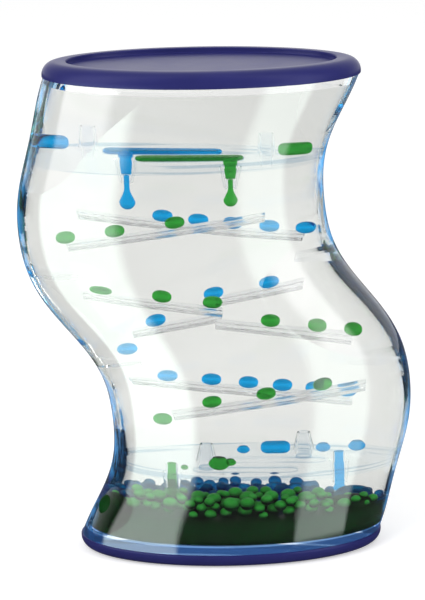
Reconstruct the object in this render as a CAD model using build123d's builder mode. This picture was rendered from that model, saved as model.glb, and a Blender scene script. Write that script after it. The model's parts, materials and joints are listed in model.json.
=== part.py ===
from build123d import *
from math import atan2, cos, hypot, pi, sin, sqrt
import os

os.makedirs("parts", exist_ok=True)

# Overall size, and the outline of the body as sums of waves along its height
total_height = 141.0
end_half_length = 43.0
half_depth = 20.0
cap_height = 4.2
closure_thickness = 2.2
end_sway = 3.6
sway_waves = (10.8, 1.2, 0.34, 0.15)
bulge_waves = (1.66, 1.13, -0.16, 0.38)
station_count = 25
wall = 2.6
glue_gap = 0.15

# Caps and end closures
cap_overhang = 0.4
cap_rounding = 3.6
cap_seat_width = 3.0
cap_pocket_depth = 1.2
rim_end_width = 6.6
rim_side_width = 5.0
recess_depth = 1.4
recess_edge_rounding = 0.4
plug_hole_radius = 2.5
plug_clearance = 0.1
plug_head_radius = 3.4
plug_head_height = 0.8
plug_offset_share = 0.5

# Trays with their drip nozzles, chimneys and oil channels
tray_rise_share = 0.6455
tray_thickness = 2.8
channel_depth = 1.0
channel_width = 5.0
nozzle_length = 6.0
nozzle_base_radius = 3.0
nozzle_tip_radius = 1.7
nozzle_inlet_radius = 2.3
nozzle_outlet_radius = 1.1
chimney_height_share = 0.346
chimney_base_radius = 2.6
chimney_top_radius = 1.95
chimney_bore_radius = 1.5

# Divider plates, ramps and wall ledges
plate_thickness = 2.4
ramp_depth_share = 0.47
ramp_thickness = 1.2
ramp_lip = 1.2
groove_depth = 0.25
ledge_root_thickness = 3.4
ledge_tip_thickness = 1.0

# Oil
drop_radius = 2.6
drop_half_height = 1.65
flat_drop_radius = 3.0
flat_drop_half_height = 1.0
drop_gap = 0.2
pool_rise = 0.3
pool_gap = 0.1
pool_rounding_share = 0.4
column_gap = 0.2
neck_radius = 0.65
neck_length = 2.6
hanging_lengths = (5.2, 7.6)
hanging_fall_lengths = (3.4, 1.8)
free_fall_lengths = (10.9, 1.0)
roll_off = 2.9
hanging_radii = (1.85, 2.05)
blob_lengths = (9.4, 11.0)
blob_width = 4.8
blob_height = 3.4
long_drop_length = 7.8
long_drop_width = 4.4
drain_drop_radius = 1.7
drain_drop_half_height = 1.4
settled_depth_share = 0.384
bead_radius = 2.5
bead_height_share = 0.238
upper_bead_radius = 2.0
upper_bead_height_share = 0.194
liquid_gap = 0.3

# Places across the inside, as shares of its half length, for the front and the rear lane
nozzle_shares = (0.367, -0.318)
chimney_shares = (0.612, -0.558)
channel_shares = ((-0.270, 0.460), (-0.466, 0.317))
blob_shares = (0.800, -0.845)

# Ramp ends and ledge ends: share of the inside half length, share of the tray's height
upper_ramp_shares = (
    ((0.607, 0.659), (-0.708, 0.493)),
    ((-0.600, 0.654), (0.799, 0.456)),
)
middle_ramp_shares = (
    ((-0.716, 0.182), (0.049, 0.037)),
    ((0.606, 0.125), (0.015, 0.051)),
)
ledge_shares = ((-0.640, 0.315), (0.680, 0.315))

# Drops on the ramps, from the top ramp down, as shares of each ramp from its high end
train_shares = (
    ((0.449, 0.750, 1.0), (0.554, 0.917), (0.387, 0.731, 1.0), (0.220, 0.512, 0.791)),
    (
        (0.367, 0.525, 0.675, 0.839, 1.0),
        (0.376, 1.0),
        (0.731,),
        (0.153, 0.351, 0.519, 0.674, 0.824, 0.970),
    ),
)
flat_drop_share = 0.120
falling_drop_shares = ((-0.678, -0.685), (-0.706, -0.224))

# Oil lying on the bottom tray: place across, place in the depth, size next to a rolling drop
tray_drop_shares = (
    ((-0.539, 0.70, 0.42), (-0.292, 0.70, 1.12), (-0.206, 0.47, 0.62)),
    ((-0.094, 0.29, 0.67), (0.450, 0.29, 0.77), (0.680, 0.29, 0.88)),
)
long_drop_shares = (0.125, 0.29)

middle = total_height / 2
outline_reach = middle - cap_height
shell_reach = outline_reach - closure_thickness
body_end_half_length = end_half_length - cap_overhang
body_half_depth = half_depth - cap_overhang
inner_half_depth = body_half_depth - wall
tray_rise = tray_rise_share * outline_reach
tray_outer_rise = tray_rise + tray_thickness
chamber_height = shell_reach - tray_outer_rise
chimney_height = chimney_height_share * chamber_height
settled_depth = settled_depth_share * chamber_height
bead_half_height = bead_height_share * chamber_height / 2
upper_bead_half_height = upper_bead_height_share * chamber_height / 2
ramp_depth = ramp_depth_share * inner_half_depth
lane_line = plate_thickness / 2 + ramp_depth / 2
sides = (-1, 1)
colours = ("green", "blue")
turn_axis = Axis((0, 0, middle), (0, 1, 0))


def level(rise):
    """Horizontal plane at a height above the middle of the timer."""
    return Plane.XY.offset(middle + rise)


def outline_centre(rise):
    """Middle of the outline, as seen from the front, at a height above the middle."""
    share = rise / outline_reach
    waves = sum(size * sin((count + 1) * pi * share) for count, size in enumerate(sway_waves))
    return -end_sway * share - waves


def outline_half_length(rise):
    """Half of the outline's length along X at a height above the middle."""
    share = rise / outline_reach
    waves = 0
    for count, size in enumerate(bulge_waves):
        waves += size * (cos((count + 1) * pi * share) - cos((count + 1) * pi))
    return body_end_half_length + waves


def place_across(share, rise):
    """X of a place given as a share of the inside half length at that height."""
    return outline_centre(rise) + share * (outline_half_length(rise) - wall)


def place(shares):
    """X and height above the middle of a place given in shares."""
    rise = shares[1] * tray_rise
    return (place_across(shares[0], rise), rise)


def turned(piece):
    """The same piece after the timer is turned over about its depth axis."""
    return piece.rotate(turn_axis, 180)


def turned_place(spot):
    """Where a place goes when the timer is turned over."""
    return (-spot[0], -spot[1])


def save(piece, name):
    piece.label = name
    export_step(piece, f"parts/{name}.step")


# Heights of the sections through the body
stations = []
for index in range(station_count):
    stations.append(shell_reach * (2 * index / (station_count - 1) - 1))

# Rear and front half of the clear body, welded to each other in the plane y = 0
with BuildPart() as rear_shell:
    for rise in stations:
        with BuildSketch(level(rise)):
            with BuildLine():
                centre = (outline_centre(rise), 0)
                length = outline_half_length(rise)
                outer = EllipticalCenterArc(centre, length, body_half_depth, arc_size=180)
                inner = EllipticalCenterArc(centre, length - wall, inner_half_depth, arc_size=180)
                Line(outer @ 0, inner @ 0)
                Line(outer @ 1, inner @ 1)
            make_face()
    loft()
with BuildPart() as front_shell:
    mirror(rear_shell.part, about=Plane.XZ)
save(rear_shell.part, "rear_shell")
save(front_shell.part, "front_shell")


def cavity(gap):
    """The space inside the body, smaller by a gap all round."""
    with BuildPart() as core:
        for rise in stations:
            with BuildSketch(level(rise)):
                with Locations((outline_centre(rise), 0)):
                    Ellipse(outline_half_length(rise) - wall - gap, inner_half_depth - gap)
        loft()
    return core.part


glued_space = cavity(glue_gap)
liquid_space = cavity(liquid_gap)


def slab(low_rise, high_rise, near, far, space):
    """The part of a space between two heights and two depths."""
    with BuildPart() as layer:
        with BuildSketch(level(low_rise)):
            with Locations((0, (near + far) / 2)):
                Rectangle(2 * (end_half_length + half_depth), abs(far - near))
        extrude(amount=high_rise - low_rise)
        add(space, mode=Mode.INTERSECT)
    return layer.part


# Clear end closures, with a filling hole for each lane in the top one
plug_spots = []
for side in sides:
    plug_spots.append((outline_centre(outline_reach), side * plug_offset_share * inner_half_depth))

with BuildPart() as bottom_closure:
    with BuildSketch(level(-outline_reach)):
        with Locations((outline_centre(-outline_reach), 0)):
            Ellipse(body_end_half_length, body_half_depth)
    extrude(amount=closure_thickness)
save(bottom_closure.part, "bottom_closure")

with BuildPart() as top_closure:
    with BuildSketch(level(shell_reach)):
        with Locations((outline_centre(outline_reach), 0)):
            Ellipse(body_end_half_length, body_half_depth)
        with Locations(*plug_spots):
            Circle(plug_hole_radius, mode=Mode.SUBTRACT)
    extrude(amount=closure_thickness)
save(top_closure.part, "top_closure")

for colour, spot in zip(colours, plug_spots):
    with BuildPart() as fill_plug:
        with BuildSketch(level(shell_reach)):
            with Locations(spot):
                Circle(plug_hole_radius - plug_clearance)
        extrude(amount=closure_thickness)
        with BuildSketch(level(outline_reach)):
            with Locations(spot):
                Circle(plug_head_radius)
        extrude(amount=plug_head_height)
    save(fill_plug.part, f"{colour}_fill_plug")

# Caps with a shallow recess, a rounded rim and a pocket underneath for the plug heads
with BuildPart() as top_cap:
    with BuildSketch(level(outline_reach)):
        with Locations((outline_centre(outline_reach), 0)):
            Ellipse(end_half_length, half_depth)
    extrude(amount=cap_height)
    fillet(top_cap.edges().group_by(Axis.Z)[-1], cap_rounding)
    with BuildSketch(level(middle)):
        with Locations((outline_centre(outline_reach), 0)):
            Ellipse(end_half_length - rim_end_width, half_depth - rim_side_width)
    extrude(amount=-recess_depth, mode=Mode.SUBTRACT)
    recess_edge = top_cap.edges().group_by(Axis.Z)[-1].sort_by(SortBy.LENGTH)[0]
    fillet(recess_edge, recess_edge_rounding)
    with BuildSketch(level(outline_reach)):
        with Locations((outline_centre(outline_reach), 0)):
            Ellipse(end_half_length - cap_seat_width, half_depth - cap_seat_width)
    extrude(amount=cap_pocket_depth, mode=Mode.SUBTRACT)
save(top_cap.part, "top_cap")
save(turned(top_cap.part), "bottom_cap")

# Trays: a nozzle, a chimney and an oil channel for each lane
with BuildPart() as top_tray:
    add(slab(tray_rise, tray_outer_rise, -half_depth, half_depth, glued_space))
    for lane, side in enumerate(sides):
        nozzle_x = place_across(nozzle_shares[lane], tray_rise)
        chimney_x = place_across(chimney_shares[lane], tray_rise)
        channel_ends = [place_across(share, tray_rise) for share in channel_shares[lane]]
        channel_middle = sum(channel_ends) / 2
        channel_length = channel_ends[1] - channel_ends[0]
        with Locations((nozzle_x, side * lane_line, middle + tray_rise - nozzle_length / 2)):
            Cone(nozzle_tip_radius, nozzle_base_radius, nozzle_length)
        with Locations((chimney_x, side * lane_line, middle + tray_outer_rise + chimney_height / 2)):
            Cone(chimney_base_radius, chimney_top_radius, chimney_height)
        with BuildSketch(level(tray_outer_rise)):
            with Locations((channel_middle, side * lane_line)):
                SlotOverall(channel_length, channel_width)
        extrude(amount=-channel_depth, mode=Mode.SUBTRACT)
        bore_height = nozzle_length + tray_thickness
        with Locations((nozzle_x, side * lane_line, middle + tray_outer_rise - bore_height / 2)):
            Cone(nozzle_outlet_radius, nozzle_inlet_radius, bore_height, mode=Mode.SUBTRACT)
        bore_height = tray_thickness + chimney_height
        with Locations((chimney_x, side * lane_line, middle + tray_rise + bore_height / 2)):
            Cylinder(chimney_bore_radius, bore_height, mode=Mode.SUBTRACT)
save(top_tray.part, "top_tray")
save(turned(top_tray.part), "bottom_tray")

# Divider plates between the two lanes
half_plate = plate_thickness / 2
save(slab(-tray_rise, tray_rise, -half_plate, half_plate, glued_space), "centre_plate")
top_partition = slab(tray_outer_rise, shell_reach, -half_plate, half_plate, glued_space)
save(top_partition, "top_partition")
save(turned(top_partition), "bottom_partition")


def ramp_plane(high, low, side):
    """Plane across a ramp at its high end, with its first axis leading away from the plate."""
    return Plane(
        origin=(high[0], side * half_plate, middle + high[1]),
        x_dir=(0, side, 0),
        z_dir=(low[0] - high[0], 0, low[1] - high[1]),
    )


def ramp_length(high, low):
    return hypot(low[0] - high[0], low[1] - high[1])


def ramp(high, low, side):
    """A plank with a shallow groove along both faces, glued to the plate by its edge."""
    with BuildPart() as plank:
        with BuildSketch(ramp_plane(high, low, side)):
            with BuildLine():
                for face in (-1, 1):
                    edge = face * ramp_thickness / 2
                    floor = face * (ramp_thickness / 2 - groove_depth)
                    Line((0, edge), (ramp_lip, edge))
                    ThreePointArc(
                        (ramp_lip, edge), (ramp_depth / 2, floor), (ramp_depth - ramp_lip, edge)
                    )
                    Line((ramp_depth - ramp_lip, edge), (ramp_depth, edge))
                Line((0, -ramp_thickness / 2), (0, ramp_thickness / 2))
                Line((ramp_depth, -ramp_thickness / 2), (ramp_depth, ramp_thickness / 2))
            make_face()
        extrude(amount=ramp_length(high, low))
    return plank.part


# Ramps of each lane from the top down; the lower two are the upper two turned over
ramps = []
for side, upper, centre in zip(sides, upper_ramp_shares, middle_ramp_shares):
    upper_high, upper_low = place(upper[0]), place(upper[1])
    centre_high, centre_low = place(centre[0]), place(centre[1])
    ramps.append((
        (upper_high, upper_low),
        (centre_high, centre_low),
        (turned_place(centre_low), turned_place(centre_high)),
        (turned_place(upper_low), turned_place(upper_high)),
    ))
for colour, side, lane_ramps in zip(colours, sides, ramps):
    for number, (high, low) in enumerate(lane_ramps, start=1):
        save(ramp(high, low, side), f"{colour}_ramp_{number}")

# Wedge-shaped ledges at the walls, trimmed to the inside of the body
for colour, side, shares in zip(colours, sides, ledge_shares):
    tip_x, rise = place(shares)
    outward = -1 if shares[0] < 0 else 1
    root_x = place_across(outward, rise)
    with BuildPart() as ledge:
        with BuildSketch(Plane.XZ.offset(-side * half_plate)):
            with BuildLine():
                tip = ledge_tip_thickness / 2
                root = ledge_root_thickness / 2
                Polyline(
                    (tip_x, middle + rise - tip),
                    (tip_x, middle + rise + tip),
                    (root_x, middle + rise + root),
                    (root_x, middle + rise - root),
                    close=True,
                )
            make_face()
        extrude(amount=-side * ramp_depth)
        add(glued_space, mode=Mode.INTERSECT)
    save(ledge.part, f"{colour}_upper_ledge")
    save(turned(ledge.part), f"{colour}_lower_ledge")


def bead(spot, radius, half_height):
    """A flattened round bead of oil at a point."""
    with BuildPart() as blob:
        with BuildSketch(Plane(origin=spot, x_dir=(1, 0, 0), z_dir=(0, -1, 0))):
            with BuildLine():
                diagonal = (radius * sqrt(1 / 2), half_height * sqrt(1 / 2))
                Spline(
                    (0, -half_height),
                    (diagonal[0], -diagonal[1]),
                    (radius, 0),
                    diagonal,
                    (0, half_height),
                    tangents=((1, 0), (-1, 0)),
                )
                Line((0, half_height), (0, -half_height))
            make_face()
        revolve(axis=Axis(spot, (0, 0, 1)))
    return blob.part


def puddle(spot, length, width, height):
    """A flat pool of oil with round ends and rounded edges on a floor at a point."""
    with BuildPart() as pool:
        with BuildSketch(Plane.XY.offset(spot[2])):
            with Locations((spot[0], spot[1])):
                SlotOverall(length, width)
        extrude(amount=height)
        fillet(pool.edges().filter_by(Plane.XY), pool_rounding_share * height)
    return pool.part


def group(pieces):
    """Separate solids kept together as one part."""
    return Part(children=list(pieces))


def drop_on_ramp(high, low, side, share, radius, half_height):
    """Centre of a drop that rolls on a ramp at a share of its length."""
    run, fall = low[0] - high[0], low[1] - high[1]
    slope = atan2(fall, abs(run))
    seat = sqrt((radius * sin(slope)) ** 2 + (half_height * cos(slope)) ** 2)
    lift = ramp_thickness / 2 + drop_gap + seat
    lean = lift * sin(slope) * (-1 if run > 0 else 1)
    x = high[0] + share * run + lean
    return (x, side * lane_line, middle + high[1] + share * fall + lift * cos(slope))


def hanging_drop(x, side, radius, reach):
    """A drop on its neck below a nozzle, with the neck reaching up into the bore."""
    tip = middle + tray_rise - nozzle_length
    bottom = tip - reach
    with BuildPart() as pendant:
        with BuildSketch(Plane(origin=(x, side * lane_line, 0), x_dir=(1, 0, 0), z_dir=(0, -1, 0))):
            with BuildLine():
                Spline(
                    (0, bottom), (radius, bottom + radius), (neck_radius, tip), tangents=((1, 0), (0, 1))
                )
                Polyline((neck_radius, tip), (neck_radius, tip + neck_length), (0, tip + neck_length))
                Line((0, tip + neck_length), (0, bottom))
            make_face()
        revolve(axis=Axis((x, side * lane_line, 0), (0, 0, 1)))
    return pendant.part


def tray_pool(lane):
    """Oil in the top tray's channel, with its column in the nozzle and the rest by the wall."""
    side = sides[lane]
    floor = middle + tray_outer_rise - channel_depth
    ends = [place_across(share, tray_rise) for share in channel_shares[lane]]
    nozzle_x = place_across(nozzle_shares[lane], tray_rise)
    depth = channel_depth - pool_gap + pool_rise
    pool = puddle(
        (sum(ends) / 2, side * lane_line, floor + pool_gap),
        ends[1] - ends[0] - 2 * pool_gap,
        channel_width - 2 * pool_gap,
        depth,
    )
    column_top = floor + pool_gap + depth / 2
    column_foot = middle + tray_rise - nozzle_length + neck_length + column_gap
    widening = (nozzle_inlet_radius - nozzle_outlet_radius) / (nozzle_length + tray_thickness)
    foot_radius = nozzle_outlet_radius - column_gap + widening * (neck_length + column_gap)
    top_radius = foot_radius + widening * (column_top - column_foot)
    with BuildPart() as stream:
        add(pool)
        with Locations((nozzle_x, side * lane_line, (column_top + column_foot) / 2)):
            Cone(foot_radius, top_radius, column_top - column_foot)
    blob_x = place_across(blob_shares[lane], tray_outer_rise)
    blob_spot = (blob_x, side * lane_line, middle + tray_outer_rise + pool_gap)
    with BuildPart() as rest:
        add(puddle(blob_spot, blob_lengths[lane], blob_width, blob_height))
        add(liquid_space, mode=Mode.INTERSECT)
    return group([stream.part, rest.part])


def tray_drop(shares, side):
    """A drop that lies on the bottom tray."""
    across, depth, size = shares
    radius, half_height = size * drop_radius, size * drop_half_height
    rise = -tray_rise + pool_gap + half_height
    spot = (place_across(across, -tray_rise), side * depth * inner_half_depth, middle + rise)
    return bead(spot, radius, half_height)


def drain_oil(lane):
    """Oil that runs down through the bottom tray's tube and hangs from its end."""
    side = sides[lane]
    x = -place_across(chimney_shares[lane], tray_rise)
    top = middle - tray_rise
    end = middle - tray_outer_rise - chimney_height
    drop_middle = end - column_gap - drain_drop_half_height
    with BuildPart() as run:
        with Locations((x, side * lane_line, (top + drop_middle) / 2)):
            Cylinder(chimney_bore_radius - column_gap, top - drop_middle)
        add(bead((x, side * lane_line, drop_middle), drain_drop_radius, drain_drop_half_height))
    return run.part


def bead_spots(lane, radius, clearance, columns_offset):
    """Places for a layer of beads over one half of the bottom, clear of the wall and the drain."""
    side = sides[lane]
    centre = outline_centre(-shell_reach + settled_depth)
    reach = outline_half_length(-shell_reach + settled_depth) - wall
    drain_x = -place_across(chimney_shares[lane], tray_rise)
    pitch = 2 * (radius + drop_gap)
    spots = []
    first = half_plate + radius + drop_gap
    rows = int((inner_half_depth - first) / pitch) + 1
    columns = int(reach / pitch)
    for row in range(rows):
        y = first + row * pitch
        for column in range(-columns, columns + 1):
            x = centre + (column + columns_offset + 0.5 * (row % 2)) * pitch
            edge_x = (abs(x - centre) + radius + drop_gap) / reach
            edge_y = (y + radius + drop_gap) / inner_half_depth
            off_drain = hypot(x - drain_x, y - lane_line)
            if edge_x ** 2 + edge_y ** 2 < 1 and off_drain > clearance + radius + drop_gap:
                spots.append((x, side * y))
    return spots


# Oil of each lane
for lane, (colour, side) in enumerate(zip(colours, sides)):
    save(tray_pool(lane), f"{colour}_tray_pool")
    nozzle_x = place_across(nozzle_shares[lane], tray_rise)
    pendant = hanging_drop(nozzle_x, side, hanging_radii[lane], hanging_lengths[lane])
    save(pendant, f"{colour}_hanging_drop")

    for number, ((high, low), shares) in enumerate(zip(ramps[lane], train_shares[lane]), start=1):
        train = []
        for share in shares:
            spot = drop_on_ramp(high, low, side, share, drop_radius, drop_half_height)
            train.append(bead(spot, drop_radius, drop_half_height))
        if colour == "green" and number == 2:
            spot = drop_on_ramp(high, low, side, flat_drop_share, flat_drop_radius, flat_drop_half_height)
            train.append(bead(spot, flat_drop_radius, flat_drop_half_height))
        save(group(train), f"{colour}_drops_{number}")

    fall_x, fall_rise = place(falling_drop_shares[lane])
    falling = bead((fall_x, side * lane_line, middle + fall_rise), drop_radius, drop_half_height)
    save(falling, f"{colour}_falling_drop")

    lying = [tray_drop(shares, side) for shares in tray_drop_shares[lane]]
    lying.append(drain_oil(lane))
    if colour == "blue":
        across, depth = long_drop_shares
        spot_x = place_across(across, -tray_rise)
        spot = (spot_x, side * depth * inner_half_depth, middle - tray_rise + pool_gap)
        lying.append(puddle(spot, long_drop_length, long_drop_width, 2 * drop_half_height))
    save(group(lying), f"{colour}_tray_oil")

    near = side * (half_plate + glue_gap)
    floor = -shell_reach + pool_gap
    surface = -shell_reach + settled_depth
    save(slab(floor, surface, near, side * half_depth, glued_space), f"{colour}_settled_oil")

    beads = []
    rise = surface + drop_gap + bead_half_height
    for x, y in bead_spots(lane, bead_radius, drain_drop_radius, 0):
        beads.append(bead((x, y, middle + rise), bead_radius, bead_half_height))
    if colour == "green":
        rise += bead_half_height + drop_gap + upper_bead_half_height
        for x, y in bead_spots(lane, upper_bead_radius, chimney_base_radius, 0.5):
            beads.append(bead((x, y, middle + rise), upper_bead_radius, upper_bead_half_height))
    save(group(beads), f"{colour}_beads")


def rolling_space(high, low, side):
    """Outline of the space that a ramp and the drops rolling on it and off its end take up."""
    length = ramp_length(high, low)
    along = ((low[0] - high[0]) / length, (low[1] - high[1]) / length)
    up = (-along[1], along[0]) if along[0] > 0 else (along[1], -along[0])
    below = -ramp_thickness / 2 - liquid_gap
    above = ramp_thickness / 2 + drop_gap + 2 * drop_half_height + liquid_gap
    finish = length + roll_off + drop_radius + liquid_gap
    corners = []
    for run, lift in ((-liquid_gap, below), (finish, below), (finish, above), (-liquid_gap, above)):
        x = high[0] + run * along[0] + lift * up[0]
        corners.append((x, middle + high[1] + run * along[1] + lift * up[1]))
    return corners


def upright(x, side, radius, low_rise, high_rise):
    """Middle and half sizes of an upright block round a tube or drop in the lane, with a gap."""
    size = radius + liquid_gap
    return (x, side * lane_line, size, size, low_rise - liquid_gap, high_rise + liquid_gap)


def middle_blocks(lane):
    """Blocks of space taken up by nozzles, ledges and oil in the middle chamber."""
    side = sides[lane]
    radius = drop_radius
    nozzle_x = place_across(nozzle_shares[lane], tray_rise)
    tip = tray_rise - nozzle_length
    hanging_low = tip - hanging_lengths[lane] - hanging_fall_lengths[lane]
    fall_x, fall_rise = place(falling_drop_shares[lane])
    fall_low = fall_rise - free_fall_lengths[lane] - drop_half_height
    blocks = [
        upright(nozzle_x, side, nozzle_base_radius, tip, tray_rise),
        upright(nozzle_x, side, hanging_radii[lane], hanging_low, tip),
        upright(-nozzle_x, side, nozzle_base_radius, -tray_rise, -tip),
        upright(fall_x, side, radius, fall_low, fall_rise + drop_half_height),
    ]
    for across, depth, size in tray_drop_shares[lane]:
        x = place_across(across, -tray_rise)
        reach = size * radius + liquid_gap
        top = -tray_rise + pool_gap + 2 * size * drop_half_height + liquid_gap
        blocks.append((x, side * depth * inner_half_depth, reach, reach, -tray_rise, top))
    if lane == 1:
        across, depth = long_drop_shares
        x = place_across(across, -tray_rise)
        half_length, half_width = long_drop_length / 2 + liquid_gap, long_drop_width / 2 + liquid_gap
        top = -tray_rise + pool_gap + 2 * drop_half_height + liquid_gap
        blocks.append((x, side * depth * inner_half_depth, half_length, half_width, -tray_rise, top))
    tip_x, rise = place(ledge_shares[lane])
    wall_x = tip_x / abs(tip_x) * (end_half_length + half_depth)
    for turn in (1, -1):
        x, half_length = turn * (tip_x + wall_x) / 2, abs(wall_x - tip_x) / 2 + liquid_gap
        half_height = ledge_root_thickness / 2 + liquid_gap
        low, high = turn * rise - half_height, turn * rise + half_height
        blocks.append((x, side * lane_line, half_length, ramp_depth / 2 + liquid_gap, low, high))
    return blocks


def top_blocks(lane):
    """Blocks of space taken up by the chimney and the oil on the top tray."""
    side = sides[lane]
    chimney_x = place_across(chimney_shares[lane], tray_rise)
    chimney_top = tray_outer_rise + chimney_height
    ends = [place_across(share, tray_rise) for share in channel_shares[lane]]
    half_length = (ends[1] - ends[0]) / 2
    half_width = channel_width / 2 + liquid_gap
    pool_top = tray_outer_rise + pool_rise + liquid_gap
    blob_x = place_across(blob_shares[lane], tray_outer_rise)
    blob_top = tray_outer_rise + pool_gap + blob_height + liquid_gap
    blob_half_length = blob_lengths[lane] / 2 + liquid_gap
    return [
        upright(chimney_x, side, chimney_base_radius, tray_outer_rise, chimney_top),
        (sum(ends) / 2, side * lane_line, half_length, half_width, tray_outer_rise, pool_top),
        (blob_x, side * lane_line, blob_half_length, half_width, tray_outer_rise, blob_top),
    ]


def clear_part(low_rise, high_rise, lane, blocks, lane_ramps):
    """The clear liquid of one chamber on one side of the plate."""
    side = sides[lane]
    low, high = low_rise + liquid_gap, high_rise - liquid_gap
    with BuildPart() as liquid:
        near = side * (half_plate + liquid_gap)
        add(slab(low, high, near, side * half_depth, liquid_space))
        for x, y, half_length, half_width, block_low, block_high in blocks:
            with Locations((x, y, middle + (block_low + block_high) / 2)):
                height = block_high - block_low
                Box(2 * half_length, 2 * half_width, height, mode=Mode.SUBTRACT)
        for ramp_high, ramp_low in lane_ramps:
            with BuildSketch(Plane.XZ):
                with BuildLine():
                    Polyline(*rolling_space(ramp_high, ramp_low, side), close=True)
                make_face()
            reach = half_plate + ramp_depth + liquid_gap
            extrude(amount=-side * reach, mode=Mode.SUBTRACT)
    return liquid.part


# Clear liquid in the three chambers of each lane
clear_parts = []
for lane, side in enumerate(sides):
    bead_top = -shell_reach + settled_depth + drop_gap + 2 * bead_half_height
    if lane == 0:
        bead_top += drop_gap + 2 * upper_bead_half_height
    drain_x = -place_across(chimney_shares[lane], tray_rise)
    drain = upright(drain_x, side, chimney_base_radius, bead_top, -tray_outer_rise)
    clear_parts.append(clear_part(tray_outer_rise, shell_reach, lane, top_blocks(lane), []))
    clear_parts.append(clear_part(-tray_rise, tray_rise, lane, middle_blocks(lane), ramps[lane]))
    clear_parts.append(clear_part(bead_top, -tray_outer_rise, lane, [drain], []))
save(group(clear_parts), "clear_liquid")
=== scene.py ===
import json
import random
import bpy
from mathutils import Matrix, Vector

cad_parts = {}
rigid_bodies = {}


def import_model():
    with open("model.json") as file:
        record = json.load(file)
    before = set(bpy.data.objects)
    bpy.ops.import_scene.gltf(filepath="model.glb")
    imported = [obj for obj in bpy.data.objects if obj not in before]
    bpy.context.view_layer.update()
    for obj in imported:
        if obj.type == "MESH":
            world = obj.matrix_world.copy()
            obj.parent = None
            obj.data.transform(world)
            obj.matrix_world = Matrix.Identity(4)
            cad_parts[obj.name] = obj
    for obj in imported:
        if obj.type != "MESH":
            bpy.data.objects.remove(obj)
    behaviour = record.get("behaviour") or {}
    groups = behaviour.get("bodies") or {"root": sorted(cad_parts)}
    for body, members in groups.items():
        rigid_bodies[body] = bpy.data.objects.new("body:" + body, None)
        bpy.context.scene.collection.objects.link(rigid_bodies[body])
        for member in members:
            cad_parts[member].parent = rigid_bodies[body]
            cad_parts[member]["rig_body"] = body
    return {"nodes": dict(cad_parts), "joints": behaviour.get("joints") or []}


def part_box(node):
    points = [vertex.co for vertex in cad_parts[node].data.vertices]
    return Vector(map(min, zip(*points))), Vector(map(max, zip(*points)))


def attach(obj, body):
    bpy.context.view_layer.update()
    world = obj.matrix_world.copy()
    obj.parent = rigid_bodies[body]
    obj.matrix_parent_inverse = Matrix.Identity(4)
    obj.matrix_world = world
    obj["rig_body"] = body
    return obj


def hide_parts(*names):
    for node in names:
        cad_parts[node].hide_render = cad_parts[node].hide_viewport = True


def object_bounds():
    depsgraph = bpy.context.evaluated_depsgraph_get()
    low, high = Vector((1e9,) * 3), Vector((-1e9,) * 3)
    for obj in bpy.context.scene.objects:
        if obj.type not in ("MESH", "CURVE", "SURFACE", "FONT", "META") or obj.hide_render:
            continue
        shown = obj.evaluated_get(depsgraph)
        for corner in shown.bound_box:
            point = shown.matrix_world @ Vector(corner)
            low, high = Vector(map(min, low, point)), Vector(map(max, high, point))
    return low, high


bl_info = {
    "name": "Liquid motion timer",
    "version": (1, 0, 0),
    "blender": (4, 5, 0),
    "location": "3D View > Sidebar > Timer",
    "description": "Builds an S-shaped timer with two lanes of coloured oil drops on its packed frame",
    "category": "Add Mesh",
}

from math import cos, pi, radians, sin, sqrt

import bmesh
import bpy
from bpy.props import FloatProperty, FloatVectorProperty, PointerProperty
from mathutils import Matrix, Vector

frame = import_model()
cad_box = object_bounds()

MM = 0.001
BODY = "timer"
LANES = {"green": -1, "blue": 1}
SWAY_WAVES = (10.8 * MM, 1.2 * MM, 0.34 * MM, 0.15 * MM)
BULGE_WAVES = (1.66 * MM, 1.13 * MM, -0.16 * MM, 0.38 * MM)
END_SWAY = 3.6 * MM
MIDDLE = (cad_box[0][2] + cad_box[1][2]) / 2
AROUND = 192
FINER = 9.0
HAIR_GAP = 0.03 * MM
CARD_BLUR = 4


class TimerSizes(bpy.types.PropertyGroup):
    end_half_length: FloatProperty(
        name="End half length", description="Half of the length of a cap",
        default=43 * MM, min=0.01, unit="LENGTH")
    half_depth: FloatProperty(
        name="Half depth", description="Half of the depth of a cap",
        default=20 * MM, min=0.005, unit="LENGTH")
    overhang: FloatProperty(
        name="Cap overhang", description="How far a cap stands proud of the clear body",
        default=0.4 * MM, min=0, unit="LENGTH")
    cap_height: FloatProperty(
        name="Cap height", description="Height of a cap",
        default=4.2 * MM, min=0.001, unit="LENGTH")
    closure: FloatProperty(
        name="Closure thickness", description="Thickness of the clear plate under a cap",
        default=2.2 * MM, min=0.0005, unit="LENGTH")
    wall: FloatProperty(
        name="Wall", description="Thickness of the clear wall",
        default=2.6 * MM, min=0.0005, unit="LENGTH")


class TimerColours(bpy.types.PropertyGroup):
    cap: FloatVectorProperty(
        name="Caps", description="Colour of the caps",
        default=(0.017, 0.018, 0.098), min=0, max=1, size=3, subtype="COLOR")
    clear: FloatVectorProperty(
        name="Clear plastic", description="Tint of the clear body",
        default=(0.832, 0.838, 0.826), min=0, max=1, size=3, subtype="COLOR")
    green: FloatVectorProperty(
        name="Green oil", description="Colour of the oil in the front lane",
        default=(0.036, 0.370, 0.045), min=0, max=1, size=3, subtype="COLOR")
    blue: FloatVectorProperty(
        name="Blue oil", description="Colour of the oil in the rear lane",
        default=(0.010, 0.400, 0.850), min=0, max=1, size=3, subtype="COLOR")


class TimerStage(bpy.types.PropertyGroup):
    sky: FloatProperty(
        name="Sky", description="Strength of the even studio light",
        default=0.72, min=0, max=3)
    key: FloatProperty(
        name="Key lamp", description="Power of the large lamp at the upper left",
        default=3.2, min=0, max=50, unit="POWER")
    side: FloatProperty(
        name="Side lamp", description="Power of the lamp at the right",
        default=1.6, min=0, max=50, unit="POWER")
    cards: FloatProperty(
        name="Cards", description="Brightness of the two pale cards that the clear body mirrors",
        default=4.7, min=0, max=20)


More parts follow.
